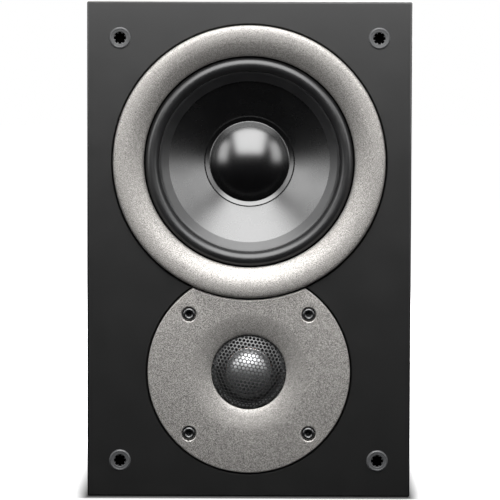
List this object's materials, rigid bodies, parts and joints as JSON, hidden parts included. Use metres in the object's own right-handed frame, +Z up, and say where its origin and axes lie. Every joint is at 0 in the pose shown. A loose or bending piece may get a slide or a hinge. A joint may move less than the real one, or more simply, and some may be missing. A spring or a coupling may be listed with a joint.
{
  "type": "bookshelf speaker",
  "caption": "Compact black bookshelf speaker with its grille off: woofer in a silver trim ring above a mesh-covered dome tweeter, ported back with screw-down binding posts.",
  "frame": {"origin": "middle of the cabinet's underside, centred front to back on the whole object, trim ring included", "axes": "+Z up along the cabinet's height, -Y out of the front, +X to the right seen from the front"},
  "size_m": [0.182, 0.2336, 0.2786],
  "materials": {
    "baffle_vinyl": "satin black vinyl film on the front board",
    "cabinet_vinyl": "fine-grained black ash vinyl wrap on particle board",
    "silver_paint": "satin silver-grey paint with a fine sandy texture on moulded plastic",
    "socket_plastic": "moulded dark grey plastic",
    "surround_rubber": "satin black butyl rubber",
    "cone_polypropylene": "glossy dark metallic-filled polypropylene",
    "cap_polypropylene": "glossy near-black polypropylene",
    "mesh_paint": "black painted perforated steel",
    "dome_aluminium": "smooth bright foil dome",
    "soft_surround": "treated black cloth",
    "black_steel": "black coated steel",
    "zinc_steel": "zinc plated steel",
    "ferrite": "matt dark sintered ferrite",
    "copper_wire": "enamelled copper wire",
    "former_film": "brown polyimide film",
    "spider_cloth": "corrugated resin-treated cotton",
    "gasket_foam": "closed-cell foam",
    "black_plastic": "moulded black plastic",
    "red_plastic": "moulded red plastic",
    "gold_plate": "gold plated brass",
    "circuit_board": "green solder resist on a fibre board",
    "capacitor_film": "yellow tape-wrapped film capacitor",
    "resistor_ceramic": "cement-filled ceramic case",
    "lead_insulation": "flexible two-core insulation",
    "polyester": "white polyester wadding"
  },
  "bodies": {
    "cabinet": {"front_baffle": "baffle_vinyl", "left_side_panel": "cabinet_vinyl", "right_side_panel": "cabinet_vinyl", "top_panel": "cabinet_vinyl", "bottom_panel": "cabinet_vinyl", "back_panel": "cabinet_vinyl", "grille_socket_upper_left": "socket_plastic", "grille_socket_upper_right": "socket_plastic", "grille_socket_lower_left": "socket_plastic", "grille_socket_lower_right": "socket_plastic", "woofer_trim_ring": "silver_paint", "woofer_basket": "black_steel", "woofer_gasket": "gasket_foam", "woofer_surround": "surround_rubber", "woofer_spider": "spider_cloth", "woofer_top_plate": "zinc_steel", "woofer_magnet": "ferrite", "woofer_pole_yoke": "zinc_steel", "woofer_terminal_strip": "gold_plate", "woofer_screw_upper_left": "black_steel", "woofer_screw_upper_right": "black_steel", "woofer_screw_lower_left": "black_steel", "woofer_screw_lower_right": "black_steel", "tweeter_faceplate": "silver_paint", "tweeter_mesh_guard": "mesh_paint", "tweeter_surround": "soft_surround", "tweeter_top_plate": "zinc_steel", "tweeter_magnet": "ferrite", "tweeter_pole_yoke": "zinc_steel", "tweeter_terminal_strip": "gold_plate", "tweeter_screw_upper_left": "black_steel", "tweeter_screw_upper_right": "black_steel", "tweeter_screw_lower_left": "black_steel", "tweeter_screw_lower_right": "black_steel", "port_tube": "black_plastic", "terminal_cup": "black_plastic", "terminal_cup_screw_upper_left": "black_steel", "terminal_cup_screw_upper_right": "black_steel", "terminal_cup_screw_lower_left": "black_steel", "terminal_cup_screw_lower_right": "black_steel", "red_post_stud": "gold_plate", "black_post_stud": "gold_plate", "crossover_board": "circuit_board", "woofer_inductor": "copper_wire", "tweeter_inductor": "copper_wire", "tweeter_capacitor": "capacitor_film", "tweeter_resistor": "resistor_ceramic", "woofer_lead": "lead_insulation", "tweeter_lead": "lead_insulation", "acoustic_wadding": "polyester"},
    "woofer_moving": {"woofer_cone": "cone_polypropylene", "woofer_dust_cap": "cap_polypropylene", "woofer_coil_former": "former_film", "woofer_voice_coil": "copper_wire"},
    "tweeter_moving": {"tweeter_dome": "dome_aluminium", "tweeter_voice_coil": "copper_wire"},
    "red_clamp": {"red_post_washer": "gold_plate"},
    "red_knob": {"red_post_knob": "red_plastic"},
    "black_clamp": {"black_post_washer": "gold_plate"},
    "black_knob": {"black_post_knob": "black_plastic"}
  },
  "joints": [
    {"name": "woofer_stroke", "type": "slide", "parent": "cabinet", "child": "woofer_moving", "axis": [0, -1, 0], "range_m": [-0.004, 0.004], "stiffness_N_per_m": 1000, "deforming": ["woofer_surround", "woofer_spider"]},
    {"name": "tweeter_stroke", "type": "slide", "parent": "cabinet", "child": "tweeter_moving", "axis": [0, -1, 0], "range_m": [-0.0003, 0.0003], "stiffness_N_per_m": 500, "deforming": ["tweeter_surround"]},
    {"name": "red_clamp_lift", "type": "slide", "parent": "cabinet", "child": "red_clamp", "axis": [0, 1, 0], "range_m": [0, 0.004]},
    {"name": "red_knob_turn", "type": "hinge", "parent": "red_clamp", "child": "red_knob", "pos_m": [0.0095, 0.108, 0.075], "axis": [0, 1, 0], "range_deg": [0, 1442]},
    {"name": "black_clamp_lift", "type": "slide", "parent": "cabinet", "child": "black_clamp", "axis": [0, 1, 0], "range_m": [0, 0.004]},
    {"name": "black_knob_turn", "type": "hinge", "parent": "black_clamp", "child": "black_knob", "pos_m": [-0.0095, 0.108, 0.075], "axis": [0, 1, 0], "range_deg": [0, 1442]}
  ],
  "couplings": [
    {"joint": "red_knob_turn", "follows": "red_clamp_lift", "rad_per_m": 6283.2},
    {"joint": "black_knob_turn", "follows": "black_clamp_lift", "rad_per_m": 6283.2}
  ]
}
